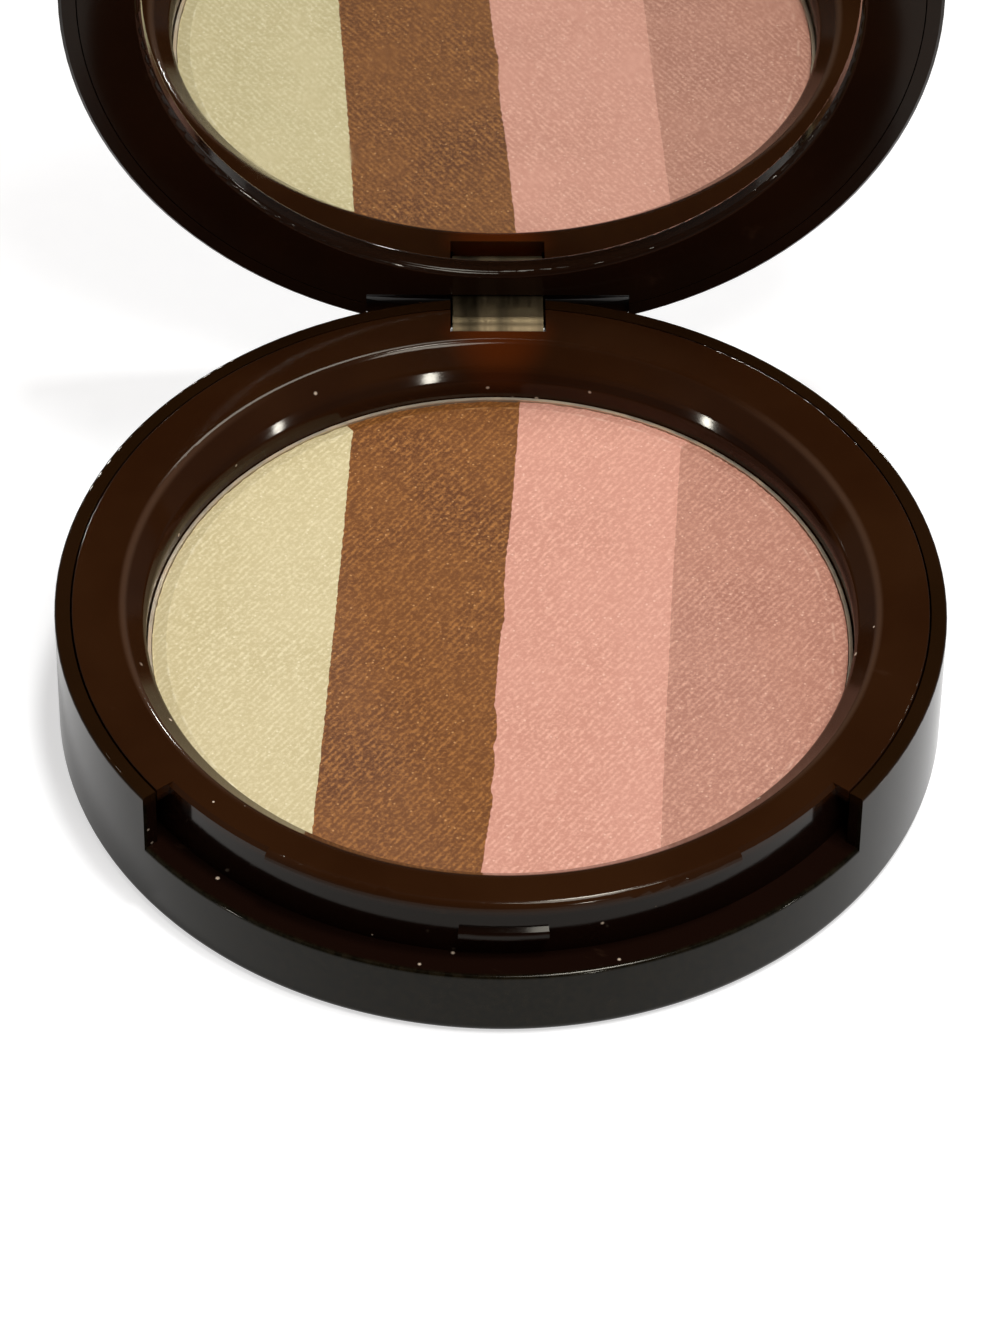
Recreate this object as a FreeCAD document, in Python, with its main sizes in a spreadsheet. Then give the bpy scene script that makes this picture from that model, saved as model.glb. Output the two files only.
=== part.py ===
"""Round pressed-powder compact with its mirror lid standing open.

Millimetres, +Z up.  The origin is the centre of the underside, the front faces -Y and the hinge is at +Y.
The pieces of the lid are drawn closed and then turned about the hinge by the opening angle.
"""
import FreeCAD, Part
import math
import os
import Sketcher

SIZES = {
    # Pan, powder and the tape under the pan
    "pan_diameter": 59.2,
    "pan_wall": 0.3,
    "pan_height": 5.5,
    "tape_thickness": 0.3,
    "tape_margin": 3.0,
    "powder_clearance": 0.05,
    "powder_drop": 0.15,
    "powder_crown": 0.2,
    "powder_border": 1.2,
    "stripe_width": 14.2,
    "stripe_shift": 0.1,
    "stripe_angle": 3.5,
    # Inner ring round the pan
    "pan_gap": 0.1,
    "lip_rise": 3.2,
    "lip_round": 0.8,
    "flare_width": 1.9,
    "flare_height": 1.75,
    "well_round": 1.1,
    "rim_width": 2.95,
    "ring_wall": 1.2,
    "flange_reach": 1.25,
    "flange_thickness": 1.3,
    "flange_round": 0.12,
    "front_bevel": 0.35,
    "visor_reach": 0.4,
    "visor_half_angle": 33.4,
    "catch_reach": 0.55,
    "catch_half_angle": 6.0,
    "catch_drop": 2.6,
    "catch_height": 1.4,
    "catch_ramp": 0.7,
    "catch_round": 0.35,
    # Outer shell of the base
    "shell_floor": 2.0,
    "shell_wall": 1.3,
    "shell_drop": 0.12,
    "ring_clearance": 0.15,
    "skirt_seat": 1.0,
    "foot_round": 0.9,
    "shell_round": 0.25,
    "notch_half_angle": 51.6,
    "notch_depth": 6.0,
    "ledge_round": 0.3,
    # Hinge
    "hinge_wall": 1.1,
    "knuckle_radius": 1.95,
    "knuckle_width": 7.9,
    "knuckle_gap": 0.3,
    "knuckle_side_gap": 0.2,
    "knuckle_back": 0.2,
    "head_width": 12.0,
    "head_depth": 1.6,
    "head_gap": 0.05,
    "pin_diameter": 1.5,
    "pin_length": 16.0,
    "pin_press": 0.01,
    "pin_running": 0.05,
    "lug_half_angle": 16.0,
    "lug_gap": 0.3,
    "lug_drop": 0.15,
    "open_angle": 90.0,
    # Lid, mirror frame and mirror
    "lid_gap": 0.2,
    "back_clearance": 0.25,
    "lid_wall": 1.5,
    "lid_top": 1.4,
    "lid_round": 2.0,
    "lid_bevel": 0.3,
    "relief_length": 23.0,
    "tongue_gap": 0.2,
    "tongue_angle_gap": 0.35,
    "hook_gap": 0.1,
    "hook_half_angle": 4.5,
    "hook_height": 1.2,
    "frame_clearance": 0.1,
    "frame_wall": 1.25,
    "frame_round": 0.5,
    "mirror_border": 5.95,
    "mirror_lip": 1.0,
    "mirror_recess": 1.05,
    "mirror_seat": 0.55,
    "mirror_clearance": 0.1,
    "mirror_thickness": 1.5,
    "mirror_bevel": 0.4,
    "mirror_tape": 1.05,
    "mirror_tape_margin": 2.5,
}

# Radii, heights and depths that follow from the sizes.
PLACES = {
    "pan_radius": "sizes.pan_diameter / 2",
    "pan_bore": "pan_radius - sizes.pan_wall",
    "tape_radius": "pan_radius - sizes.tape_margin",
    "pan_base": "sizes.shell_floor + sizes.tape_thickness",
    "pan_floor": "pan_base + sizes.pan_wall",
    "pan_top": "pan_base + sizes.pan_height",
    "cake_radius": "pan_bore - sizes.powder_clearance",
    "field_radius": "cake_radius - sizes.powder_border",
    "cake_edge": "pan_top - sizes.powder_drop",
    "cake_top": "pan_top + sizes.powder_crown",
    "lip_radius": "pan_radius + sizes.pan_gap",
    "lip_back": "lip_radius + sizes.ring_wall",
    "lip_height": "pan_top + sizes.lip_rise",
    "well_radius": "lip_radius + sizes.flare_width",
    "rim_height": "lip_height + sizes.flare_height",
    "flange_base": "rim_height - sizes.flange_thickness",
    "flare_back": "lip_back + sizes.flare_width * (flange_base - lip_height) / sizes.flare_height",
    "skirt_radius": "well_radius + sizes.rim_width",
    "skirt_inner": "skirt_radius - sizes.ring_wall",
    "flange_radius": "skirt_radius + sizes.flange_reach",
    "front_shoulder": "skirt_radius - sizes.front_bevel",
    "front_edge": "rim_height - sizes.front_bevel",
    "visor_radius": "skirt_radius + sizes.visor_reach",
    "visor_round": "visor_radius - front_shoulder",
    "visor_edge": "rim_height - visor_round",
    "visor_root": "front_shoulder - sizes.front_bevel",
    "catch_radius": "skirt_radius + sizes.catch_reach",
    "catch_root": "skirt_radius - sizes.ring_wall / 2",
    "catch_top": "rim_height - sizes.catch_drop",
    "catch_crest": "catch_top - sizes.catch_ramp",
    "catch_base": "catch_top - sizes.catch_height",
    "shell_radius": "flange_radius + sizes.ring_clearance",
    "case_radius": "shell_radius + sizes.shell_wall",
    "shell_height": "rim_height - sizes.shell_drop",
    "ledge_height": "rim_height - sizes.notch_depth",
    "ledge_shoulder": "case_radius - sizes.ledge_round",
    "ledge_edge": "ledge_height - sizes.ledge_round",
    "notch_root": "shell_radius - sizes.ring_clearance",
    "seat_radius": "skirt_radius - sizes.skirt_seat",
    "outside": "case_radius + sizes.shell_wall",
    "above": "rim_height + sizes.flange_thickness",
    "hinge_face": "well_radius + sizes.hinge_wall",
    "curtain_root": "(lip_radius + lip_back) / 2",
    "knuckle_front": "hinge_face + sizes.knuckle_gap",
    "hinge_y": "knuckle_front + sizes.knuckle_radius",
    "lid_base": "rim_height + sizes.lid_gap",
    "hinge_z": "lid_base - (case_radius - hinge_y) - sizes.back_clearance",
    "knuckle_rear": "hinge_y + sizes.knuckle_back",
    "slot_floor": "hinge_z - sizes.knuckle_radius - sizes.knuckle_gap",
    "slot_width": "sizes.knuckle_width + 2 * sizes.knuckle_side_gap",
    "pin_radius": "sizes.pin_diameter / 2",
    "pin_seat_radius": "pin_radius + sizes.pin_press",
    "pin_bore_radius": "pin_radius + sizes.pin_running",
    "lug_radius": "hinge_face + sizes.lug_gap",
    "lug_top": "flange_base - sizes.lug_drop",
    "lug_root": "shell_radius + sizes.shell_wall / 2",
    "lug_bay_half_angle": "sizes.lug_half_angle + sizes.lug_half_angle / 10",
    "bay_radius": "hinge_face + sizes.lug_gap / 2",
    "relief_radius": "sqrt((case_radius - hinge_y)^2 + (shell_height - hinge_z)^2) + sizes.lid_gap",
    "mirror_face": "lid_base + sizes.mirror_recess",
    "mirror_back": "mirror_face + sizes.mirror_thickness",
    "mirror_shoulder": "mirror_face + sizes.mirror_bevel",
    "mirror_radius": "case_radius - sizes.mirror_border",
    "mirror_flat": "mirror_radius - sizes.mirror_bevel",
    "mirror_tape_radius": "mirror_radius - sizes.mirror_tape_margin",
    "frame_opening": "mirror_radius - sizes.mirror_lip",
    "frame_rebate": "mirror_radius + sizes.mirror_clearance",
    "frame_floor": "mirror_face + sizes.mirror_seat",
    "lid_inner": "case_radius - sizes.lid_wall",
    "lid_bevel_radius": "case_radius - sizes.lid_bevel",
    "lid_bevel_top": "lid_base + sizes.lid_bevel",
    "frame_radius": "lid_inner - sizes.frame_clearance",
    "frame_skirt": "frame_radius - sizes.frame_wall",
    "lid_ceiling": "mirror_back + sizes.mirror_tape",
    "lid_height": "lid_ceiling + sizes.lid_top",
    "lid_above": "lid_height + sizes.lid_top",
    "head_top": "lid_ceiling - sizes.head_gap",
    "head_rear": "knuckle_front + sizes.head_depth",
    "head_bay_front": "knuckle_front - sizes.knuckle_gap",
    "head_bay_width": "sizes.head_width + 2 * sizes.knuckle_side_gap",
    "tongue_tip": "ledge_height + sizes.tongue_gap",
    "tongue_root": "lid_base + sizes.lid_wall",
    "tongue_half_angle": "sizes.notch_half_angle - sizes.tongue_angle_gap",
    "hook_radius": "catch_radius + sizes.hook_gap",
    "hook_root": "lid_inner + sizes.lid_wall / 2",
    "hook_top": "catch_base - sizes.tongue_gap",
    "hook_shoulder": "hook_top - sizes.hook_height / 3",
    "hook_base": "hook_top - sizes.hook_height",
    "stripe_reach": "2 * case_radius",
    "stripe_middle": "sizes.stripe_shift",
    "stripe_left": "sizes.stripe_shift - sizes.stripe_width",
    "stripe_right": "sizes.stripe_shift + sizes.stripe_width",
}

TOLERANCE = 1e-4

doc = FreeCAD.newDocument("compact")
sizes = doc.addObject("Spreadsheet::Sheet", "sizes")
for row, (alias, number) in enumerate(SIZES.items(), start=1):
    sizes.set(f"A{row}", alias)
    sizes.set(f"B{row}", str(number))
    sizes.setAlias(f"B{row}", alias)
doc.recompute()
places = doc.addObject("App::VarSet", "places")
for place, formula in PLACES.items():
    places.addProperty("App::PropertyFloat", place, "Derived")
    places.setExpression(place, formula)
doc.recompute()


def owner(name):
    """The sheet or the set of derived places that holds a name."""
    return sizes if name in SIZES else places


def bound(name):
    """The expression that reads a named size or place."""
    return f"{owner(name).Name}.{name}"


def value(name):
    """The present number of a named size or place, or zero."""
    return 0.0 if name == "zero" else float(getattr(owner(name), name))


def new_body(label):
    """An empty body; its label names its file."""
    body = doc.addObject("PartDesign::Body", label)
    body.Label = label
    return body


def sketch_on(body, name, role="XZ_Plane", faces_front=False):
    """A sketch on one of the body's own planes; one that faces the front measures towards -Y."""
    sketch = body.newObject("Sketcher::SketchObject", f"{body.Name}_{name}_sketch")
    plane = next(feature for feature in body.Origin.OriginFeatures if feature.Role == role)
    sketch.AttachmentSupport = [(plane, "")]
    sketch.MapMode = "FlatFace"
    if faces_front:
        half_turn = FreeCAD.Rotation(FreeCAD.Vector(0, 1, 0), 180)
        sketch.AttachmentOffset = FreeCAD.Placement(FreeCAD.Vector(0, 0, 0), half_turn)
    return sketch


def pin_point(sketch, geometry, position, across, up):
    """Hold a point at a named distance across and up from the sketch's origin."""
    root_point = (-1, 1)
    across_axis = -1
    up_axis = -2
    for kind, name, axis in (("DistanceX", across, up_axis), ("DistanceY", up, across_axis)):
        if name == "zero":
            sketch.addConstraint(Sketcher.Constraint("PointOnObject", geometry, position, axis))
        else:
            rule = Sketcher.Constraint(kind, *root_point, geometry, position, value(name))
            index = sketch.addConstraint(rule)
            sketch.setExpression(f"Constraints[{index}]", bound(name))


def arc_between(start, end, radius, turn):
    """The short arc from start to end that bends left (turn +1) or right (turn -1)."""
    chord = end - start
    across = FreeCAD.Vector(-chord.y, chord.x, 0).normalize()
    rise = math.sqrt(max(radius ** 2 - (chord.Length / 2) ** 2, 0))
    centre = start + chord / 2 + across * (turn * rise)
    first, last = (start, end) if turn > 0 else (end, start)
    angles = [math.atan2(point.y - centre.y, point.x - centre.x) for point in (first, last)]
    return Part.ArcOfCircle(Part.Circle(centre, FreeCAD.Vector(0, 0, 1), radius), *angles)


def outline(sketch, corners, rounds=None):
    """A closed loop through named corners; rounds gives a run's radius name and its turn."""
    rounds = rounds or {}
    points = [FreeCAD.Vector(value(across), value(up), 0) for across, up in corners]
    ends = []
    for run, start in enumerate(points):
        end = points[(run + 1) % len(points)]
        radius, turn = rounds.get(run, (None, 1))
        if radius:
            sketch.addGeometry(arc_between(start, end, value(radius), turn))
        else:
            sketch.addGeometry(Part.LineSegment(start, end))
        ends.append((1, 2) if turn > 0 else (2, 1))
    for run, (across, up) in enumerate(corners):
        following = (run + 1) % len(points)
        joint = Sketcher.Constraint("Coincident", run, ends[run][1], following, ends[following][0])
        sketch.addConstraint(joint)
        pin_point(sketch, run, ends[run][0], across, up)
    for run, (radius, turn) in rounds.items():
        index = sketch.addConstraint(Sketcher.Constraint("Radius", run, value(radius)))
        sketch.setExpression(f"Constraints[{index}]", bound(radius))


def circle(sketch, across, up, radius):
    """A circle about a named point."""
    centre = FreeCAD.Vector(value(across), value(up), 0)
    sketch.addGeometry(Part.Circle(centre, FreeCAD.Vector(0, 0, 1), value(radius)))
    pin_point(sketch, 0, 3, across, up)
    index = sketch.addConstraint(Sketcher.Constraint("Radius", 0, value(radius)))
    sketch.setExpression(f"Constraints[{index}]", bound(radius))


def box_corners(near, far, low, high):
    """The corners of an upright rectangle between named places."""
    return [(near, low), (far, low), (far, high), (near, high)]


def turned(body, kind, name, corners, half_angle=None, role="YZ_Plane", faces_front=False, rounds=None):
    """A Revolution or Groove about Z of a loop, right round or to both sides of its plane."""
    sketch = sketch_on(body, name, role, faces_front)
    outline(sketch, corners, rounds)
    feature = body.newObject(f"PartDesign::{kind}", f"{body.Name}_{name}")
    feature.Profile = sketch
    feature.ReferenceAxis = (sketch, ["V_Axis"])
    if half_angle:
        feature.Midplane = True
        feature.setExpression("Angle", f"2 * {bound(half_angle)}")
    else:
        feature.Angle = 360
    return feature


def across_hinge(body, kind, name, draw, width):
    """A Pad or Pocket along X, as wide to both sides of the middle plane as a named width in all."""
    sketch = sketch_on(body, name, "YZ_Plane")
    draw(sketch)
    feature = body.newObject(f"PartDesign::{kind}", f"{body.Name}_{name}")
    feature.Profile = sketch
    feature.SideType = "Symmetric"
    feature.setExpression("Length", bound(width))
    return feature


def on_ring(edge, across, up):
    """Whether an edge runs round the Z axis at a named radius and height."""
    return all(
        abs(math.hypot(point.X, point.Y) - value(across)) < TOLERANCE
        and abs(point.Z - value(up)) < TOLERANCE
        for point in edge.Vertexes
    )


def rounded(body, name, radius, rings):
    """A fillet on the edges of the last feature that lie on the named rings."""
    doc.recompute()
    base = body.Tip
    edges = [
        f"Edge{index}"
        for index, edge in enumerate(base.Shape.Edges, start=1)
        if any(on_ring(edge, across, up) for across, up in rings)
    ]
    feature = body.newObject("PartDesign::Fillet", f"{body.Name}_{name}")
    feature.Base = (base, edges)
    feature.setExpression("Radius", bound(radius))


def hang_on_hinge(body):
    """Turn a piece of the lid from closed to open about the hinge."""
    swing = "rotation(vector(1; 0; 0); -sizes.open_angle)"
    axis_point = "vector(0; places.hinge_y; places.hinge_z)"
    body.setExpression("Placement", f"placement(vector(0; 0; 0); {swing}; {axis_point})")


def make_base_shell():
    """Cup with a stepped wall: lid notch at the front, hinge lugs and slot at the back."""
    body = new_body("base_shell")
    turned(body, "Revolution", "wall", [
        ("zero", "zero"),
        ("case_radius", "zero"),
        ("case_radius", "shell_height"),
        ("shell_radius", "shell_height"),
        ("shell_radius", "ledge_height"),
        ("seat_radius", "ledge_height"),
        ("seat_radius", "shell_floor"),
        ("zero", "shell_floor"),
    ])
    rounded(body, "foot", "foot_round", [("case_radius", "zero")])
    rounded(body, "rim", "shell_round", [("case_radius", "shell_height")])
    lugs = box_corners("lug_radius", "lug_root", "shell_floor", "lug_top")
    turned(body, "Revolution", "lugs", lugs, "lug_half_angle")
    notch = [
        ("notch_root", "ledge_height"),
        ("ledge_shoulder", "ledge_height"),
        ("case_radius", "ledge_edge"),
        ("outside", "ledge_edge"),
        ("outside", "above"),
        ("notch_root", "above"),
    ]
    ledge_round = {1: ("ledge_round", -1)}
    turned(body, "Groove", "notch", notch, "notch_half_angle", faces_front=True, rounds=ledge_round)
    slot = box_corners("well_radius", "outside", "slot_floor", "above")
    across_hinge(body, "Pocket", "slot", lambda sketch: outline(sketch, slot), "slot_width")
    across_hinge(
        body, "Pocket", "bore", lambda sketch: circle(sketch, "hinge_y", "hinge_z", "pin_seat_radius"),
        "pin_length",
    )
    return body


def make_insert_ring():
    """Ring with the flared well, the flat rim and the catch, standing on the floor and on the ledge."""
    body = new_body("insert_ring")
    turned(body, "Revolution", "section", [
        ("lip_radius", "shell_floor"),
        ("lip_back", "shell_floor"),
        ("lip_back", "lip_height"),
        ("flare_back", "flange_base"),
        ("skirt_inner", "flange_base"),
        ("skirt_inner", "ledge_height"),
        ("skirt_radius", "ledge_height"),
        ("skirt_radius", "flange_base"),
        ("flange_radius", "flange_base"),
        ("flange_radius", "rim_height"),
        ("well_radius", "rim_height"),
        ("lip_radius", "lip_height"),
    ])
    rounded(body, "well_edge", "well_round", [("well_radius", "rim_height")])
    rounded(body, "lip_edge", "lip_round", [("lip_radius", "lip_height")])
    rounded(body, "flange_edge", "flange_round", [("flange_radius", "rim_height")])
    front = [
        ("skirt_radius", "ledge_height"),
        ("outside", "ledge_height"),
        ("outside", "above"),
        ("front_shoulder", "above"),
        ("front_shoulder", "rim_height"),
        ("skirt_radius", "front_edge"),
    ]
    turned(body, "Groove", "front", front, "notch_half_angle", faces_front=True)
    visor = [
        ("visor_root", "flange_base"),
        ("visor_radius", "flange_base"),
        ("visor_radius", "visor_edge"),
        ("front_shoulder", "rim_height"),
        ("visor_root", "rim_height"),
    ]
    visor_round = {2: ("visor_round", 1)}
    turned(body, "Revolution", "visor", visor, "visor_half_angle", faces_front=True, rounds=visor_round)
    catch = [
        ("catch_root", "catch_base"),
        ("catch_radius", "catch_base"),
        ("catch_radius", "catch_crest"),
        ("catch_root", "catch_top"),
    ]
    turned(body, "Revolution", "catch", catch, "catch_half_angle", faces_front=True)
    rounded(body, "catch_edge", "catch_round", [("catch_radius", "catch_crest")])
    bay = box_corners("bay_radius", "outside", "ledge_height", "flange_base")
    turned(body, "Groove", "lug_bay", bay, "lug_bay_half_angle")
    curtain = box_corners("curtain_root", "hinge_face", "slot_floor", "flange_base")
    across_hinge(body, "Pad", "curtain", lambda sketch: outline(sketch, curtain), "knuckle_width")
    slot = box_corners("hinge_face", "outside", "slot_floor", "above")
    across_hinge(body, "Pocket", "slot", lambda sketch: outline(sketch, slot), "slot_width")
    return body


def make_pan_tape():
    """Disc of double-sided tape between the floor and the pan."""
    disc = doc.addObject("Part::Cylinder", "pan_tape")
    disc.setExpression("Radius", bound("tape_radius"))
    disc.setExpression("Height", bound("tape_thickness"))
    disc.setExpression("Placement.Base.z", bound("shell_floor"))
    return disc


def make_powder_pan():
    """Shallow pressed metal cup."""
    body = new_body("powder_pan")
    turned(body, "Revolution", "cup", [
        ("zero", "pan_base"),
        ("pan_radius", "pan_base"),
        ("pan_radius", "pan_top"),
        ("pan_bore", "pan_top"),
        ("pan_bore", "pan_floor"),
        ("zero", "pan_floor"),
    ])
    return body


def make_powders():
    """Four pressed stripes that together fill the pan."""
    cake = new_body("powder_cake")
    turned(cake, "Revolution", "disc", [
        ("zero", "pan_floor"),
        ("cake_radius", "pan_floor"),
        ("cake_radius", "cake_edge"),
        ("field_radius", "cake_top"),
        ("zero", "cake_top"),
    ])
    edges = ["-places.stripe_reach", "places.stripe_left", "places.stripe_middle", "places.stripe_right"]
    edges.append("places.stripe_reach")
    stripes = []
    for index, shade in enumerate(("cream", "bronze", "pink", "mauve")):
        left, right = edges[index:index + 2]
        block = doc.addObject("Part::Box", f"{shade}_block")
        block.setExpression("Length", f"{right} - ({left})")
        block.setExpression("Width", "2 * places.stripe_reach")
        block.setExpression("Height", bound("above"))
        corner = f"vector({left}; -places.stripe_reach; 0)"
        turn = "rotation(vector(0; 0; 1); -sizes.stripe_angle)"
        block.setExpression("Placement", f"placement({turn} * {corner}; {turn})")
        stripe = doc.addObject("Part::Common", f"powder_{shade}")
        stripe.Base = cake
        stripe.Tool = block
        stripes.append(stripe)
    return stripes


def make_hinge_pin():
    """Straight steel pin through the lugs and the knuckle."""
    body = new_body("hinge_pin")
    across_hinge(
        body, "Pad", "rod", lambda sketch: circle(sketch, "hinge_y", "hinge_z", "pin_radius"), "pin_length",
    )
    return body


def make_hinge_knuckle():
    """Metal tongue with a round end on the pin and a wide head trapped inside the lid."""
    body = new_body("hinge_knuckle")
    across_hinge(
        body, "Pad", "barrel", lambda sketch: circle(sketch, "hinge_y", "hinge_z", "knuckle_radius"),
        "knuckle_width",
    )
    stem = box_corners("knuckle_front", "knuckle_rear", "hinge_z", "head_top")
    across_hinge(body, "Pad", "stem", lambda sketch: outline(sketch, stem), "knuckle_width")
    head = box_corners("knuckle_front", "head_rear", "frame_floor", "head_top")
    across_hinge(body, "Pad", "head", lambda sketch: outline(sketch, head), "head_width")
    across_hinge(
        body, "Pocket", "bore", lambda sketch: circle(sketch, "hinge_y", "hinge_z", "pin_bore_radius"),
        "knuckle_width",
    )
    hang_on_hinge(body)
    return body


def make_lid_cover():
    """Lid shell with the front tongue that fills the notch, its hook, and a relief over the hinge."""
    body = new_body("lid_cover")
    turned(body, "Revolution", "shell", [
        ("zero", "lid_ceiling"),
        ("lid_inner", "lid_ceiling"),
        ("lid_inner", "lid_base"),
        ("lid_bevel_radius", "lid_base"),
        ("case_radius", "lid_bevel_top"),
        ("case_radius", "lid_height"),
        ("zero", "lid_height"),
    ])
    rounded(body, "top_edge", "lid_round", [("case_radius", "lid_height")])
    tongue = box_corners("lid_inner", "case_radius", "tongue_tip", "tongue_root")
    turned(body, "Revolution", "tongue", tongue, "tongue_half_angle", faces_front=True)
    hook = [
        ("hook_root", "hook_base"),
        ("hook_radius", "hook_shoulder"),
        ("hook_radius", "hook_top"),
        ("hook_root", "hook_top"),
    ]
    turned(body, "Revolution", "hook", hook, "hook_half_angle", faces_front=True)
    across_hinge(
        body, "Pocket", "relief", lambda sketch: circle(sketch, "hinge_y", "hinge_z", "relief_radius"),
        "relief_length",
    )
    hang_on_hinge(body)
    return body


def make_mirror_frame():
    """Ring inside the lid that holds the mirror and traps the head of the knuckle."""
    body = new_body("mirror_frame")
    turned(body, "Revolution", "section", [
        ("frame_opening", "lid_base"),
        ("frame_radius", "lid_base"),
        ("frame_radius", "lid_ceiling"),
        ("frame_skirt", "lid_ceiling"),
        ("frame_skirt", "frame_floor"),
        ("frame_rebate", "frame_floor"),
        ("frame_rebate", "mirror_face"),
        ("frame_opening", "mirror_face"),
    ])
    rounded(body, "opening_edge", "frame_round", [("frame_opening", "lid_base")])
    across_hinge(
        body, "Pocket", "relief", lambda sketch: circle(sketch, "hinge_y", "hinge_z", "relief_radius"),
        "relief_length",
    )
    slot = box_corners("head_bay_front", "outside", "slot_floor", "lid_above")
    across_hinge(body, "Pocket", "slot", lambda sketch: outline(sketch, slot), "slot_width")
    bay = box_corners("head_bay_front", "outside", "frame_floor", "lid_above")
    across_hinge(body, "Pocket", "head_bay", lambda sketch: outline(sketch, bay), "head_bay_width")
    hang_on_hinge(body)
    return body


def make_mirror():
    """Round glass mirror with a ground edge."""
    body = new_body("mirror")
    turned(body, "Revolution", "glass", [
        ("zero", "mirror_face"),
        ("mirror_flat", "mirror_face"),
        ("mirror_radius", "mirror_shoulder"),
        ("mirror_radius", "mirror_back"),
        ("zero", "mirror_back"),
    ])
    hang_on_hinge(body)
    return body


def make_mirror_tape():
    """Foam tape disc between the mirror and the lid."""
    body = new_body("mirror_tape")
    disc = box_corners("zero", "mirror_tape_radius", "mirror_back", "lid_ceiling")
    turned(body, "Revolution", "disc", disc)
    hang_on_hinge(body)
    return body


def check(pieces):
    """Stop if anything failed, if a cut or an addition did nothing, or if a piece isn't one solid."""
    for item in doc.Objects:
        if "Invalid" in item.State or "Error" in item.State:
            raise RuntimeError(f"{item.Label} failed: {item.State}")
        base = getattr(item, "BaseFeature", None)
        if base and item.TypeId.startswith("PartDesign::") and item.TypeId != "PartDesign::Body":
            if abs(item.Shape.Volume - base.Shape.Volume) < TOLERANCE:
                raise RuntimeError(f"{item.Label} changes nothing")
    for piece in pieces:
        shape = piece.Shape
        if shape.isNull() or not shape.isValid() or len(shape.Solids) != 1:
            raise RuntimeError(f"{piece.Label} is not one valid solid")


pieces = [
    make_base_shell(),
    make_insert_ring(),
    make_pan_tape(),
    make_powder_pan(),
    *make_powders(),
    make_hinge_pin(),
    make_hinge_knuckle(),
    make_lid_cover(),
    make_mirror_frame(),
    make_mirror(),
    make_mirror_tape(),
]
doc.recompute()
check(pieces)
os.makedirs("parts", exist_ok=True)
for piece in pieces:
    piece.Shape.exportStep(os.path.join("parts", f"{piece.Label}.step"))
    print(f"{piece.Label}: {piece.Shape.Volume:.1f} mm3")
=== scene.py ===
"""Looks of a round powder compact with four striped shades, lid open on its hinge.

The stage is in metres. Patterns and powders are worked out in millimetres and brought to metres by MM.
The compact stands on z = 0, its hinge is at the back (+Y) and its finger notch at the front (-Y).
"""

import math
import random

import bmesh
import bpy
from mathutils import Matrix, Vector


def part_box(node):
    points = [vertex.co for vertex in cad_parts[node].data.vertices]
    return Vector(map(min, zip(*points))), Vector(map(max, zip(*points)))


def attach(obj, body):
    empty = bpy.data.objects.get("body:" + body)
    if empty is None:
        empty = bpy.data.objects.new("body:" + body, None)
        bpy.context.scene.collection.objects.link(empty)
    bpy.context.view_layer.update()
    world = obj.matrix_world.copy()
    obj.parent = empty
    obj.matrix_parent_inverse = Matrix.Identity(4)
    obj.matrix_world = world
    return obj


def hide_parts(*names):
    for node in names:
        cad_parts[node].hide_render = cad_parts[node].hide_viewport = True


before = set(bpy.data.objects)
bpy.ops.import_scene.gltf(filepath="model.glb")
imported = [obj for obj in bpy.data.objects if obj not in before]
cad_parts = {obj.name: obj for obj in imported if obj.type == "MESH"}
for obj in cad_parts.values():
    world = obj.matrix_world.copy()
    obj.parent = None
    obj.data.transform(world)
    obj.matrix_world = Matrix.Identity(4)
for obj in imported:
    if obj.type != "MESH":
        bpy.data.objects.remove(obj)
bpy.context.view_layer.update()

MM = 0.001


# Tools that the stage, the materials and the powders share.

def link(made):
    """Puts a new object into the scene."""
    bpy.context.scene.collection.objects.link(made)


def tone(red, green, blue):
    """A colour given as 0-255 display values, in the linear values that shaders take."""
    linear = []
    for part in (red, green, blue):
        share = part / 255
        linear.append(share / 12.92 if share <= 0.04045 else ((share + 0.055) / 1.055) ** 2.4)
    return (*linear, 1.0)


class Nodes:
    """A node tree being built. Sums and blends return the output socket of the node they add."""

    def __init__(self, tree):
        self.tree = tree

    def node(self, kind, inputs=None, **options):
        """A new node, with its options set and its inputs set or linked."""
        made = self.tree.nodes.new(kind)
        for key, value in options.items():
            setattr(made, key, value)
        for key, value in (inputs or {}).items():
            self.put(made.inputs[key], value)
        return made

    def put(self, socket, value):
        """Links an output to this input, or sets the input to a plain value."""
        if isinstance(value, bpy.types.NodeSocket):
            self.tree.links.new(value, socket)
        else:
            socket.default_value = value

    def math(self, operation, first, second=0.0):
        made = self.node("ShaderNodeMath", {0: first, 1: second}, operation=operation)
        return made.outputs[0]

    def plus(self, first, second):
        return self.math("ADD", first, second)

    def times(self, first, second):
        return self.math("MULTIPLY", first, second)

    def vector(self, operation, first, second=(0, 0, 0)):
        """Sums on vectors; a length or a dot product comes out as a number."""
        made = self.node("ShaderNodeVectorMath", {0: first, 1: second}, operation=operation)
        return made.outputs["Value" if operation in ("LENGTH", "DOT_PRODUCT") else "Vector"]

    def ramp(self, value, low, high, start=0.0, end=1.0, shape="SMOOTHSTEP"):
        """Start below low, end above high, smooth or straight between; low may be the larger."""
        made = self.node(
            "ShaderNodeMapRange",
            {"Value": value, "From Min": low, "From Max": high, "To Min": start, "To Max": end},
            interpolation_type=shape,
        )
        return made.outputs[0]

    def band(self, value, rise, fall):
        """One between two soft edges, each given as where it is zero and where it is one."""
        return self.times(self.ramp(value, *rise), self.ramp(value, *fall))

    def blend(self, amount, first, second):
        """From the first colour to the second as amount goes from 0 to 1."""
        made = self.node("ShaderNodeMix", {0: amount, 6: first, 7: second}, data_type="RGBA")
        return made.outputs[2]


# At this scale a wave pattern has one band to each step.
WAVE_SCALE = math.pi / 10
SPECK_CORE = 0.4
PICK_FADE = 0.02


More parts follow.
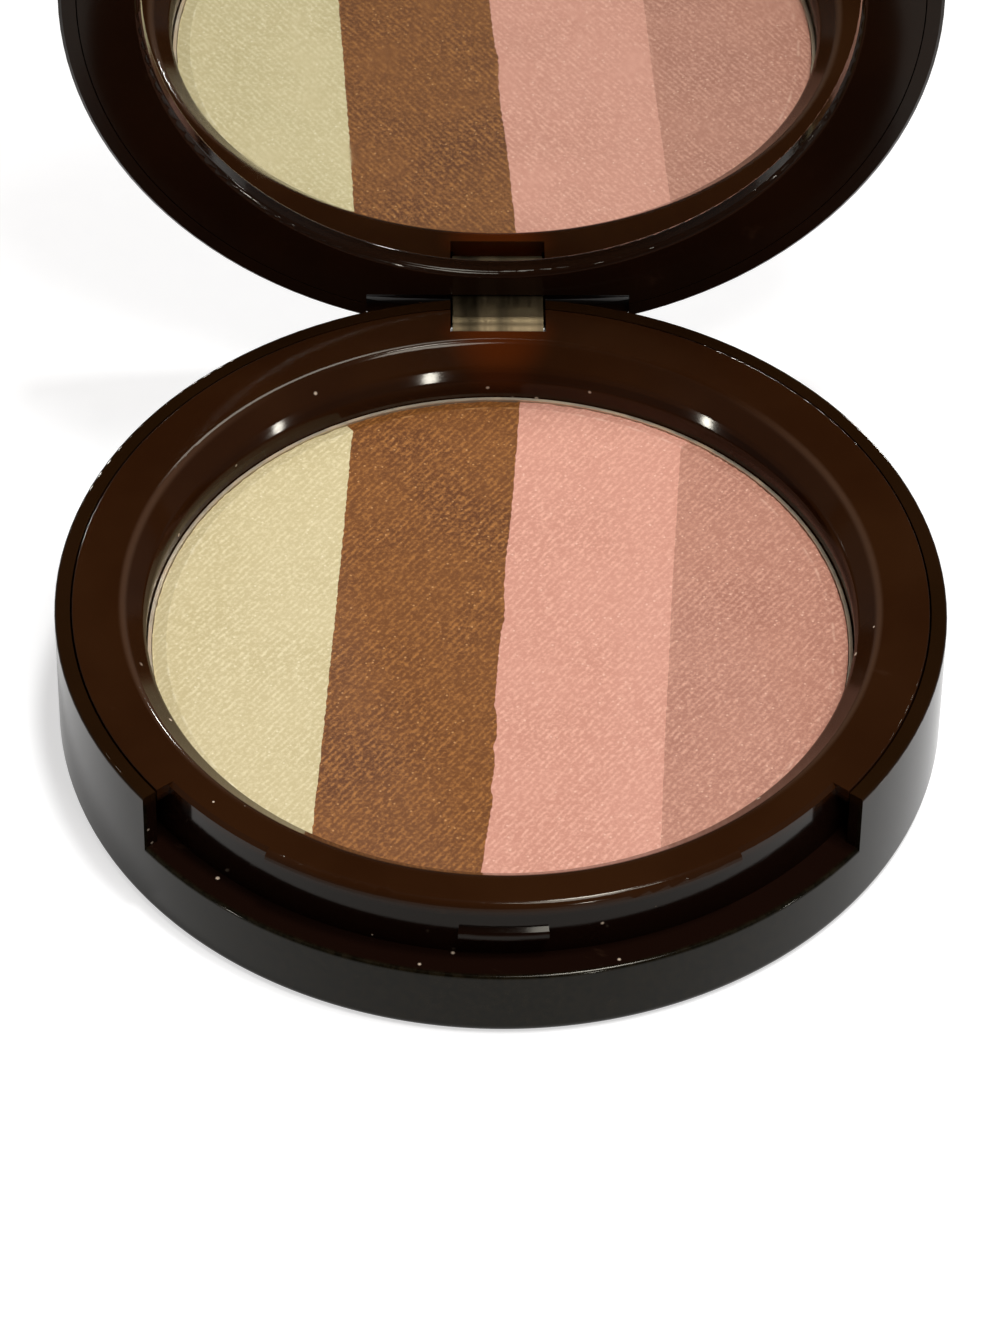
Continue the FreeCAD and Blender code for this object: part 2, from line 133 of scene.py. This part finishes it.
class Paint(Nodes):
    """A material being mixed from patterns in object space, whose sizes are in millimetres."""

    def __init__(self, name):
        self.material = bpy.data.materials.new(name)
        self.material.use_nodes = True
        super().__init__(self.material.node_tree)
        self.shader = self.tree.nodes["Principled BSDF"]
        self.metres = self.node("ShaderNodeTexCoord").outputs["Object"]

    def set(self, **values):
        """Sets or links inputs of the shader; an underscore stands for a space."""
        for key, value in values.items():
            self.put(self.shader.inputs[key.replace("_", " ")], value)

    def place(self, size=1, turn=0.0, middle=(0, 0, 0)):
        """Object coordinates from middle, turned about Z and counted in steps of size.

        One size serves all three axes, and three serve an axis each.
        """
        steps = size if isinstance(size, tuple) else (size, size, size)
        moved = self.vector("SUBTRACT", self.metres, Vector(middle) * MM)
        turned = self.node(
            "ShaderNodeVectorRotate",
            {"Vector": moved, "Angle": math.radians(turn)},
            rotation_type="Z_AXIS",
        )
        return self.vector("MULTIPLY", turned.outputs[0], [1 / (step * MM) for step in steps])

    def noise(self, size, turn=0.0, middle=(0, 0, 0), detail=2.0, rough=0.5):
        """Soft blotches about that size."""
        made = self.node(
            "ShaderNodeTexNoise",
            {"Vector": self.place(size, turn, middle), "Scale": 1.0, "Detail": detail, "Roughness": rough},
        )
        return made.outputs[0]

    def ribs(self, size, turn, wobble, detail):
        """Straight bands, one to each step along the turned X."""
        made = self.node(
            "ShaderNodeTexWave",
            {
                "Vector": self.place(size, turn),
                "Scale": WAVE_SCALE,
                "Distortion": wobble,
                "Detail": detail,
            },
            wave_type="BANDS",
            bands_direction="X",
        )
        return made.outputs["Fac"]

    def cells(self, size, turn=0.0):
        """Irregular cells of that size."""
        return self.node("ShaderNodeTexVoronoi", {"Vector": self.place(size, turn), "Scale": 1.0})

    def specks(self, size, radius, share, turn=0.0):
        """Round dots in cells of that size; radius is in cell sizes, share is that of cells with a dot."""
        cells = self.cells(size, turn)
        dot = self.ramp(cells.outputs["Distance"], radius, SPECK_CORE * radius)
        pick = self.node("ShaderNodeSeparateColor", {0: cells.outputs["Color"]})
        chosen = self.ramp(pick.outputs[0], 1 - share, 1 - share + PICK_FADE)
        return self.times(dot, chosen)

    def glow(self, middle, reach):
        """One at middle, fading to zero at reach."""
        made = self.node(
            "ShaderNodeTexGradient",
            {"Vector": self.place(reach, middle=middle)},
            gradient_type="SPHERICAL",
        )
        return made.outputs["Fac"]

    def along(self, axis):
        """The X, Y or Z coordinate."""
        return self.node("ShaderNodeSeparateXYZ", {0: self.place()}).outputs[axis]

    def sideways(self):
        """Distance from the upright plane through the hinge slot and the catch."""
        return self.math("ABSOLUTE", self.along("X"))

    def around_axis(self):
        """Distance from the upright middle axis."""
        return self.vector("LENGTH", self.vector("MULTIPLY", self.metres, (1 / MM, 1 / MM, 0)))

    def well_normal(self):
        """The well's normal worked out from its profile, so that its gloss runs round it unbroken."""
        height = self.along("Z")
        rise = 0.0
        for bottom, top, gain in WELL_TURNS:
            rise = self.plus(rise, self.ramp(height, bottom, top, end=gain, shape="LINEAR"))
        lean = self.math("SQRT", self.math("SUBTRACT", 1.0, self.times(rise, rise)))
        inward = self.vector("NORMALIZE", self.vector("MULTIPLY", self.metres, (-1, -1, 0)))
        upward = self.node("ShaderNodeCombineXYZ", {"Z": rise}).outputs[0]
        worked_out = self.vector("ADD", self.vector("MULTIPLY", inward, lean), upward)
        meshed = self.node("ShaderNodeNewGeometry").outputs["Normal"]
        chosen = self.node(
            "ShaderNodeMix",
            {0: self.ramp(self.around_axis(), *WELL_REACH_MM, shape="LINEAR"), 4: meshed, 5: worked_out},
            data_type="VECTOR",
        )
        return chosen.outputs[1]

    def bump(self, height, depth, strength, under=None):
        """The normal of a surface with that relief, on the normal under it where one is given."""
        inputs = {"Height": height, "Distance": depth * MM, "Strength": strength}
        if under is not None:
            inputs["Normal"] = under
        return self.node("ShaderNodeBump", inputs).outputs[0]


# Stage: camera, floor and lamps.

CAMERA_DISTANCE = 0.55875
CAMERA_AZIMUTH = math.radians(-1.0)
CAMERA_ELEVATION = math.radians(45.852)
CAMERA_PITCH = math.radians(0.32)
CAMERA_ROLL = math.radians(0.82)
CAMERA_NEAREST = 0.01
LENS_MM = 177.84
SENSOR_MM = 36.0


def make_camera():
    """A long lens looking down at the powder from the front, slightly tilted as a hand holds it."""
    flat = math.cos(CAMERA_ELEVATION)
    away = Vector((
        math.sin(CAMERA_AZIMUTH) * flat,
        -math.cos(CAMERA_AZIMUTH) * flat,
        math.sin(CAMERA_ELEVATION),
    ))
    ahead = -away
    right = ahead.cross(Vector((0, 0, 1))).normalized()
    up = right.cross(ahead)
    ahead = ahead * math.cos(CAMERA_PITCH) + up * math.sin(CAMERA_PITCH)
    up = right.cross(ahead)
    right = right * math.cos(CAMERA_ROLL) + up * math.sin(CAMERA_ROLL)
    up = right.cross(ahead)
    lens = bpy.data.cameras.new("camera")
    lens.lens = LENS_MM
    lens.sensor_width = SENSOR_MM
    lens.clip_start = CAMERA_NEAREST
    camera = bpy.data.objects.new("camera", lens)
    turn = Matrix((right, up, -ahead)).transposed().to_4x4()
    camera.matrix_world = Matrix.Translation(away * CAMERA_DISTANCE) @ turn
    link(camera)
    bpy.context.scene.camera = camera


FLOOR_RADIUS = 6.0
FLOOR_SIDES = 96
FLOOR_DROP = 0.02 * MM
FLOOR_LIFT = 0.62
MIRRORED_LIFT = 0.40
PAPER_DARK = (0.55, 0.55, 0.55, 1)
PAPER_LIGHT = (0.60, 0.60, 0.60, 1)
WHITE = (1, 1, 1, 1)


def paper_floor():
    """Matt white paper with a faint tooth, lifted towards white where it is looked at or mirrored."""
    paint = Paint("paper_floor")
    fibre = paint.noise(2, detail=3)
    ray = paint.node("ShaderNodeLightPath").outputs
    seen = paint.times(ray["Is Camera Ray"], FLOOR_LIFT)
    mirrored = paint.times(paint.plus(ray["Is Glossy Ray"], ray["Is Transmission Ray"]), MIRRORED_LIFT)
    paint.set(
        Emission_Color=WHITE,
        Emission_Strength=paint.plus(seen, mirrored),
        Base_Color=paint.blend(fibre, PAPER_DARK, PAPER_LIGHT),
        Roughness=0.95,
        Specular_IOR_Level=0.1,
        Normal=paint.bump(fibre, depth=0.05, strength=0.2),
    )
    return paint.material


def make_floor():
    """A wide round sheet of paper just under the compact."""
    shape = bmesh.new()
    bmesh.ops.create_circle(shape, cap_ends=True, segments=FLOOR_SIDES, radius=FLOOR_RADIUS)
    mesh = bpy.data.meshes.new("floor")
    shape.to_mesh(mesh)
    shape.free()
    floor = bpy.data.objects.new("floor", mesh)
    floor.location = (0, 0, -FLOOR_DROP)
    link(floor)
    floor.data.materials.append(paper_floor())


ROOM_PALE = (0.17, 0.17, 0.17, 1)
ROOM_DIM = (0.09, 0.05, 0.03, 1)
DIM_SIDE = (0.0, 0.70, 0.714)
DIM_FADE = (0.70, 0.94)


def make_room():
    """Pale light all round, dim and brown halfway up in front and behind, where the flat rim mirrors it."""
    world = bpy.data.worlds.new("room")
    world.use_nodes = True
    nodes = Nodes(world.node_tree)
    look = nodes.node("ShaderNodeTexCoord").outputs["Generated"]
    towards = nodes.vector("DOT_PRODUCT", nodes.vector("ABSOLUTE", look), DIM_SIDE)
    colour = nodes.blend(nodes.ramp(towards, *DIM_FADE), ROOM_PALE, ROOM_DIM)
    nodes.put(nodes.tree.nodes["Background"].inputs["Color"], colour)
    bpy.context.scene.world = world


# A far lamp has a direction from the compact, a strength, and a softness in degrees.
FAR = 1.0
OVERHEAD = ((0.155, 0.03, 0.987), 1.5, 9)
SPARKS = {
    "front_spark": ((0.331, -0.891, 0.312), 0.42, 4),
    "left_spark": ((-0.86, -0.465, 0.212), 0.32, 3),
    "right_spark": ((0.904, -0.387, 0.182), 0.26, 3),
    "left_edge": ((-0.436, 0.811, 0.39), 1.0, 5),
    "right_edge": ((0.358, 0.901, 0.246), 1.0, 5),
}
SOFTBOX = (0.2, -0.30, 0.93)
SOFTBOX_DISTANCE = 0.45
SOFTBOX_WATTS = 1.0
SOFTBOX_SIZE = 0.14


def make_lamp(name, kind, energy, direction, distance):
    """A lamp in that direction from the compact, shining at it."""
    direction = Vector(direction).normalized()
    lamp = bpy.data.objects.new(name, bpy.data.lights.new(name, kind))
    lamp.data.energy = energy
    lamp.location = direction * distance
    lamp.rotation_euler = direction.to_track_quat("Z", "Y").to_euler()
    link(lamp)
    return lamp


def make_sun(name, direction, strength, soft_degrees):
    """Even light from one direction."""
    lamp = make_lamp(name, "SUN", strength, direction, FAR)
    lamp.data.angle = math.radians(soft_degrees)
    return lamp


def make_lamps():
    """Soft light from above, sparks that only glint in glossy surfaces, and a softbox over the front."""
    make_sun("overhead", *OVERHEAD)
    for name, settings in SPARKS.items():
        spark = make_sun(name, *settings)
        spark.visible_diffuse = False
    softbox = make_lamp("front", "AREA", SOFTBOX_WATTS, SOFTBOX, SOFTBOX_DISTANCE)
    softbox.data.size = SOFTBOX_SIZE


def make_stage():
    """The floor, the room and the lamps."""
    make_floor()
    make_room()
    make_lamps()
    bpy.context.scene.view_settings.view_transform = "Standard"


# Materials. Each is a Principled shader fed by procedural patterns in object space.

CASE_BROWN = tone(46, 24, 9)
CASE_DEEP = tone(40, 19, 6)
SHELL_BROWN = tone(34, 18, 6)
SHELL_DEEP = tone(29, 15, 4)
# Painted shade for the outer wall and the ledge, which are the same plastic as the rim.
WALL_PAINTED_SHADE = tone(25, 20, 11)
WALL_PAINTED_SHADE_DEEP = tone(9, 7, 3)
LEDGE_PAINTED_SHADE = tone(21, 9, 5)
LID_BROWN = tone(32, 16, 7)
LID_DEEP = tone(27, 13, 6)
# Real handling haze, and also the painted reflection on the ring's inner edge.
CASE_HAZE_AND_REFLECTION = tone(74, 52, 38)
PAINTED_GLOW_WARM = tone(80, 33, 6)
CASE_GLEAM = (1.0, 0.95, 0.82, 1)
DUST = tone(208, 188, 166)

# Where the zones of the case fade in, as distances from the middle axis.
OUTSIDE_MM = (34.0, 34.4)
WALL_MM = (36.7, 37.1)
LEDGE_MM = (37.1, 36.9)
EDGE_REFLECTION_MM = ((31.1, 31.5), (32.0, 31.6))

# Heights under the rim, distances to the side for the painted edge reflection, and the middle of the thin
# wall's painted glow with its reach.
UNDER_RIM_MM = (12.2, 11.4)
EDGE_REFLECTION_SIDE_MM = (18.0, 29.0)
HINGE_WALL_MM = (0, 32.6, 10.5)
HINGE_WALL_REACH_MM = (6.5, 4, 5)

# The well's wall turns from upright to level in four steps: each has its lower and upper height in
# millimetres, and what it adds to the upward share of the normal.
WELL_TURNS = [(8.8, 9.9, 0.505), (9.9, 11.0, 0.02), (11.0, 11.3, 0.211), (12.459, 12.75, 0.264)]
WELL_REACH_MM = (32.4, 32.3)


def case_plastic(name, brown, deep, part):
    """Glossy dark brown moulded plastic with faint clouding, handling haze and a few dust specks.

    On the shell and the ring, the outer wall and the ledge are painted darker as shade, mottled on the
    wall.
    The ring's inner edge has a painted reflection, lighter at the sides, and its thin wall at the hinge has
    a painted warm glow, as if light came through.
    """
    paint = Paint(name)
    cloud = paint.noise(14, detail=3)
    colour = paint.blend(paint.ramp(cloud, 0.35, 0.65), deep, brown)
    dust = paint.specks(2.6, radius=0.05, share=0.10)
    under = None
    if part in ("shell", "ring"):
        radius = paint.around_axis()
        low = paint.ramp(paint.along("Z"), *UNDER_RIM_MM)
        # Painted shade: below the rim, the outer wall and the ledge are painted darker than the rim,
        # mottled on the wall.
        mottle = paint.noise(0.7, detail=3, rough=0.6)
        wall = paint.blend(paint.ramp(mottle, 0.32, 0.68), WALL_PAINTED_SHADE_DEEP, WALL_PAINTED_SHADE)
        walls = paint.blend(paint.ramp(radius, *WALL_MM), LEDGE_PAINTED_SHADE, wall)
        colour = paint.blend(paint.times(low, paint.ramp(radius, *OUTSIDE_MM)), colour, walls)
        grit = paint.specks(2.1, radius=0.11, share=0.4, turn=20)
        ledge = paint.times(low, paint.ramp(radius, *LEDGE_MM))
        dust = paint.math("MAXIMUM", dust, paint.times(grit, ledge))
    if part == "ring":
        # Painted reflection: the ring's inner edge rounding is painted lighter towards the sides.
        at_sides = paint.ramp(paint.sideways(), *EDGE_REFLECTION_SIDE_MM, end=0.75)
        painted_edge_reflection = paint.times(paint.band(radius, *EDGE_REFLECTION_MM), at_sides)
        colour = paint.blend(painted_edge_reflection, colour, CASE_HAZE_AND_REFLECTION)
        # Painted glow: the thin wall at the hinge is painted warmer, as light coming through it.
        thin = paint.ramp(paint.glow(HINGE_WALL_MM, HINGE_WALL_REACH_MM), 0.0, 0.6)
        colour = paint.blend(thin, colour, PAINTED_GLOW_WARM)
        under = paint.well_normal()
    haze = paint.noise((6, 2.2, 4), turn=25, detail=4, rough=0.6)
    hazy = paint.ramp(haze, 0.64, 0.82, end=0.25)
    colour = paint.blend(hazy, colour, CASE_HAZE_AND_REFLECTION)
    scratch = paint.noise((9, 0.12, 0.12), turn=-35)
    rough = paint.ramp(scratch, 0.5, 0.8, start=0.09, end=0.14)
    rough = paint.plus(rough, paint.times(hazy, 0.2))
    orange_peel = paint.noise(1.6, detail=1)
    paint.set(
        Base_Color=paint.blend(dust, colour, DUST),
        Roughness=paint.plus(rough, paint.times(dust, 0.5)),
        IOR=1.45,
        Specular_IOR_Level=0.17,
        Specular_Tint=CASE_GLEAM,
        Normal=paint.bump(orange_peel, depth=0.0003, strength=0.3, under=under),
    )
    return paint.material


# The round cake of powder has a sloping border round a flat field. Its bronze stripe reaches the back.
BORDER_WIDTH_MM = 1.2
BORDER_DROP_MM = 0.35
cake_low, cake_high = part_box("powder_bronze")
CAKE_RADIUS_MM = cake_high[1] / MM
CAKE_FLOOR_MM = cake_low[2] / MM
CAKE_TOP_MM = cake_high[2] / MM
CAKE_EDGE_MM = CAKE_TOP_MM - BORDER_DROP_MM
CAKE_FIELD_MM = CAKE_RADIUS_MM - BORDER_WIDTH_MM
CREASE_HIGHLIGHT_MM = (
    (CAKE_FIELD_MM - 0.22, CAKE_FIELD_MM - 0.02),
    (CAKE_FIELD_MM + 0.16, CAKE_FIELD_MM + 0.02),
)

RIB_TURN = 37.0
RIB_STEP_MM = 0.51
RIB_SIZE_MM = (RIB_STEP_MM, 3 * RIB_STEP_MM, RIB_STEP_MM)
DASH_SIZE_MM = (0.38, 0.9, 0.38)
WEAVE_SHARE = 0.46
GRAIN_SHARE = 0.62

# Each shade from left to right: a middle tone, light and dark tones painted as light and shade on its
# imprint and pits, spark painted as glint and crease highlight, and the share of spark in its pearl specks.
SHADES = {
    "cream": {
        "middle": tone(219, 204, 160),
        "light": tone(232, 219, 178),
        "dark": tone(200, 184, 138),
        "spark": tone(250, 240, 208),
        "pearl": 0.55,
    },
    "bronze": {
        "middle": tone(143, 88, 34),
        "light": tone(178, 118, 58),
        "dark": tone(98, 53, 15),
        "spark": tone(210, 156, 100),
        "pearl": 0.7,
    },
    "pink": {
        "middle": tone(221, 160, 140),
        "light": tone(236, 180, 158),
        "dark": tone(203, 142, 122),
        "spark": tone(250, 208, 186),
        "pearl": 0.6,
    },
    "mauve": {
        "middle": tone(198, 142, 120),
        "light": tone(219, 165, 142),
        "dark": tone(170, 115, 96),
        "spark": tone(240, 196, 172),
        "pearl": 0.65,
    },
}


def pressed_powder(name, middle, light, dark, spark, pearl):
    """Pressed powder with the diagonal imprint of a cloth, pits, pearl specks and a broken crease.

    Light and shade on the imprint and shade in the pits are painted, and so are glints on the pearl specks
    and a highlight along the crease.
    """
    paint = Paint(name)
    rib = paint.ribs(RIB_SIZE_MM, RIB_TURN, wobble=4.6, detail=2.5)
    dashes = paint.noise(DASH_SIZE_MM, turn=RIB_TURN, rough=0.6)
    grain = paint.noise(0.29, detail=3, rough=0.62)
    weave = paint.times(rib, paint.ramp(dashes, 0.28, 0.68))
    grains = paint.ramp(grain, 0.26, 0.74)
    relief = paint.plus(paint.times(weave, WEAVE_SHARE), paint.times(grains, GRAIN_SHARE))
    # Ribs and grains painted lighter and hollows darker: partly the powder's own grain, partly painted
    # light and shade.
    colour = paint.blend(paint.ramp(relief, 0.15, 1.1), dark, light)
    drift = paint.noise(9)
    colour = paint.blend(paint.ramp(drift, 0.4, 0.7, start=0.3, end=0.0), colour, middle)
    # Painted shade: the pits are painted in the dark tone, as shade in them.
    pits = paint.specks(0.9, radius=0.14, share=0.22)
    colour = paint.blend(paint.times(pits, 0.7), colour, dark)
    # Painted glints: the pearl specks are painted in the spark colour, besides being glossier.
    glints = paint.specks(0.5, radius=0.26, share=0.2, turn=15)
    colour = paint.blend(paint.times(glints, pearl), colour, spark)
    # Painted highlight: a broken lighter line along the crease between the field and the border.
    crease = paint.band(paint.around_axis(), *CREASE_HIGHLIGHT_MM)
    broken = paint.ramp(paint.noise(1.1, detail=3), 0.45, 0.62, end=0.4)
    paint.set(
        Base_Color=paint.blend(paint.times(crease, broken), colour, spark),
        Roughness=paint.ramp(glints, 0.0, 1.0, start=0.62, end=0.32),
        Specular_IOR_Level=0.35,
        Normal=paint.bump(relief, depth=0.035, strength=0.55),
    )
    return paint.material


PAN_TIN = tone(214, 200, 176)
PAN_DUSTY = tone(196, 172, 142)
KNUCKLE_DARK = tone(58, 50, 36)
KNUCKLE_LIGHT = tone(108, 94, 71)
STEEL_DARK = tone(150, 150, 148)
STEEL_LIGHT = tone(196, 196, 194)
SILVER_DULL = tone(226, 230, 228)
SILVER_CLEAR = tone(240, 242, 241)
FOAM_DARK = tone(206, 204, 198)
FOAM_LIGHT = tone(236, 234, 229)


def pan_metal():
    """Thin stamped tin, lightly brushed, dulled by powder dust."""
    paint = Paint("pan_metal")
    brushed = paint.noise((0.5, 0.5, 0.06), detail=3)
    dusty = paint.ramp(paint.noise(2.4, detail=3, rough=0.6), 0.4, 0.7)
    paint.set(
        Base_Color=paint.blend(dusty, PAN_TIN, PAN_DUSTY),
        Metallic=paint.ramp(dusty, 0.0, 1.0, start=0.7, end=0.2),
        Roughness=paint.ramp(brushed, 0.3, 0.7, start=0.34, end=0.5),
        Normal=paint.bump(brushed, depth=0.002, strength=0.3),
    )
    return paint.material


def hinge_metal():
    """Satin metal of the hinge's knuckle, with soft upright streaks and fine drawing lines."""
    paint = Paint("hinge_metal")
    lines = paint.noise((0.35, 30, 30), detail=3)
    broad = paint.noise((1.7, 40, 40), middle=(2.2, 0, 0), detail=1)
    paint.set(
        Base_Color=paint.blend(paint.ramp(broad, 0.3, 0.7), KNUCKLE_DARK, KNUCKLE_LIGHT),
        Metallic=1.0,
        Roughness=paint.ramp(lines, 0.3, 0.7, start=0.40, end=0.52),
        Normal=paint.bump(lines, depth=0.001, strength=0.4),
    )
    return paint.material


def pin_steel():
    """Drawn steel wire with fine rings and rubbed marks."""
    paint = Paint("pin_steel")
    rings = paint.noise((0.12, 4, 4), detail=3)
    paint.set(
        Base_Color=paint.blend(rings, STEEL_DARK, STEEL_LIGHT),
        Metallic=1.0,
        Roughness=paint.ramp(rings, 0.3, 0.7, start=0.2, end=0.38),
        Normal=paint.bump(rings, depth=0.005, strength=0.4),
    )
    return paint.material


def mirror_glass():
    """Silvered glass with faint finger smears."""
    paint = Paint("mirror_glass")
    smear = paint.noise((9, 4, 6), turn=30, detail=4, rough=0.6)
    paint.set(
        Base_Color=paint.blend(smear, SILVER_DULL, SILVER_CLEAR),
        Metallic=1.0,
        Roughness=paint.ramp(smear, 0.5, 0.8, start=0.015, end=0.06),
    )
    return paint.material


def foam_tape():
    """White foam mounting tape with a fine cell texture."""
    paint = Paint("foam_tape")
    shade = paint.cells(0.3).outputs["Distance"]
    paint.set(
        Base_Color=paint.blend(shade, FOAM_DARK, FOAM_LIGHT),
        Roughness=0.85,
        Normal=paint.bump(shade, depth=0.03, strength=0.5),
    )
    return paint.material


# Powders: four stripes of one round cake, each a closed mesh with ragged edges.

STRIPE_TURN = math.radians(3.5)
EDGE_STEP_MM = 0.35
EDGE_MARGIN_MM = 0.1
ARC_STEP_MM = 0.45
RIM_CHIP_MM = 0.05
CREAM_EDGE_MM = -14.1
BRONZE_EDGE_MM = 0.1
MAUVE_EDGE_MM = 14.3
EDGE_BOW_MM = 0.08

# Where the chipped edge steps sideways: a place along it, and an offset across it.
CHIPPED_EDGE_MM = [
    (-CAKE_FIELD_MM, -0.24), (-24.0, -0.06), (-21.0, 0.14), (-18.9, 0.30), (-17.6, 0.08), (-15.2, 0.24),
    (-13.6, 0.15), (-12.6, -0.02), (-11.5, 0.22), (-9.2, 0.12), (-8.2, -0.16), (0.6, -0.10),
    (1.9, 0.10), (4.2, 0.08), (5.0, -0.09), (9.5, -0.15), (14.0, 0.02), (CAKE_FIELD_MM, 0.06),
]


def bowed_edge(across_mm, bow_mm, ragged_mm, seed):
    """A stripe edge that is nearly straight, with a slight bow and a grainy outline."""
    grains = random.Random(seed)
    count = int(2 * CAKE_FIELD_MM / EDGE_STEP_MM)
    line = []
    for index in range(count + 1):
        along = -CAKE_FIELD_MM + 2 * CAKE_FIELD_MM * index / count
        bow = bow_mm * (1 - 2 * (along / CAKE_FIELD_MM) ** 2)
        line.append((across_mm + bow + grains.uniform(-ragged_mm, ragged_mm), along))
    return line


def chipped_edge(across_mm, ragged_mm, seed):
    """A stripe edge with small steps where the powder broke along it."""
    grains = random.Random(seed)
    line = []
    for (start, first), (end, last) in zip(CHIPPED_EDGE_MM, CHIPPED_EDGE_MM[1:]):
        count = max(1, round((end - start) / EDGE_STEP_MM))
        for index in range(count):
            share = index / count
            offset = first + (last - first) * share
            jitter = grains.uniform(-ragged_mm, ragged_mm)
            line.append((across_mm + offset + jitter, start + (end - start) * share))
    line.append((across_mm + CHIPPED_EDGE_MM[-1][1], CHIPPED_EDGE_MM[-1][0]))
    return line


def within_field(line):
    """The part of an edge inside the flat field, ended on its circle."""
    inner = [point for point in line if math.hypot(*point) < CAKE_FIELD_MM - EDGE_MARGIN_MM]
    ends = []
    for across, sign in ((inner[0][0], -1), (inner[-1][0], 1)):
        ends.append((across, sign * math.sqrt(CAKE_FIELD_MM ** 2 - across ** 2)))
    return [ends[0], *inner, ends[1]]


def rim_arc(start, end):
    """Points on the field's circle from start to end, anticlockwise seen from above."""
    first = math.atan2(start[1], start[0])
    last = math.atan2(end[1], end[0])
    if last < first:
        last += 2 * math.pi
    count = max(2, round((last - first) * CAKE_FIELD_MM / ARC_STEP_MM))
    angles = [first + (last - first) * index / count for index in range(count + 1)]
    return [(CAKE_FIELD_MM * math.cos(angle), CAKE_FIELD_MM * math.sin(angle), True) for angle in angles]


def side_points(line):
    """The points of an edge between its two ends, which the arcs already hold."""
    return [(across, along, False) for across, along in line[1:-1]]


def stripe_outline(left, right):
    """One shade's outline on the field, anticlockwise: across, along, and whether it is on the rim."""
    if left is None:
        return side_points(right) + rim_arc(right[-1], right[0])
    if right is None:
        return rim_arc(left[0], left[-1]) + side_points(left[::-1])
    front = rim_arc(left[0], right[0]) + side_points(right)
    return front + rim_arc(right[-1], left[-1]) + side_points(left[::-1])


def stripe_point(shape, across, along, height):
    """A corner of a stripe's mesh, turned with the stripes and brought to metres."""
    x = across * math.cos(STRIPE_TURN) + along * math.sin(STRIPE_TURN)
    y = along * math.cos(STRIPE_TURN) - across * math.sin(STRIPE_TURN)
    return shape.verts.new((x * MM, y * MM, height * MM))


def make_stripe(node, left, right, material, seed):
    """One shade: a flat field, a sloping border at the rim, and sides down to the pan's floor."""
    crumble = random.Random(seed)
    shape = bmesh.new()
    top = []
    edge = []
    foot = []
    for across, along, on_rim in stripe_outline(left, right):
        chip = crumble.uniform(0, RIM_CHIP_MM)
        out = (CAKE_RADIUS_MM - chip) / CAKE_FIELD_MM if on_rim else 1.0
        top.append(stripe_point(shape, across, along, CAKE_TOP_MM))
        edge.append(stripe_point(shape, across * out, along * out, CAKE_EDGE_MM - chip))
        foot.append(stripe_point(shape, across * out, along * out, CAKE_FLOOR_MM))
    for index in range(len(top)):
        for upper, lower in ((top, edge), (edge, foot)):
            shape.faces.new((upper[index - 1], lower[index - 1], lower[index], upper[index]))
    shape.faces.new(top)
    shape.faces.new(foot[::-1])
    mesh = bpy.data.meshes.new(node + "_cake")
    shape.to_mesh(mesh)
    shape.free()
    mesh.materials.append(material)
    piece = bpy.data.objects.new(node + "_cake", mesh)
    link(piece)
    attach(piece, "base")
    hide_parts(node)


def make_powders():
    """The four shades from left to right, sharing the edges between them."""
    cream_edge = within_field(bowed_edge(CREAM_EDGE_MM, EDGE_BOW_MM, ragged_mm=0.05, seed=11))
    bronze_edge = within_field(chipped_edge(BRONZE_EDGE_MM, ragged_mm=0.05, seed=12))
    mauve_edge = within_field(bowed_edge(MAUVE_EDGE_MM, -EDGE_BOW_MM, ragged_mm=0.04, seed=13))
    powders = {shade: pressed_powder(shade + "_powder", **tones) for shade, tones in SHADES.items()}
    make_stripe("powder_cream", None, cream_edge, powders["cream"], seed=21)
    make_stripe("powder_bronze", cream_edge, bronze_edge, powders["bronze"], seed=22)
    make_stripe("powder_pink", bronze_edge, mauve_edge, powders["pink"], seed=23)
    make_stripe("powder_mauve", mauve_edge, None, powders["mauve"], seed=24)


def dress_nodes():
    """Gives every solid of the case its material."""
    lid = case_plastic("case_plastic_lid", LID_BROWN, LID_DEEP, part="lid")
    tape = foam_tape()
    looks = {
        "base_shell": case_plastic("case_plastic", SHELL_BROWN, SHELL_DEEP, part="shell"),
        "insert_ring": case_plastic("case_plastic_ring", CASE_BROWN, CASE_DEEP, part="ring"),
        "lid_cover": lid,
        "mirror_frame": lid,
        "pan_tape": tape,
        "mirror_tape": tape,
        "powder_pan": pan_metal(),
        "hinge_pin": pin_steel(),
        "hinge_knuckle": hinge_metal(),
        "mirror": mirror_glass(),
    }
    for node, material in looks.items():
        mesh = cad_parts[node].data
        mesh.materials.clear()
        mesh.materials.append(material)


make_camera()
make_stage()
make_powders()
dress_nodes()
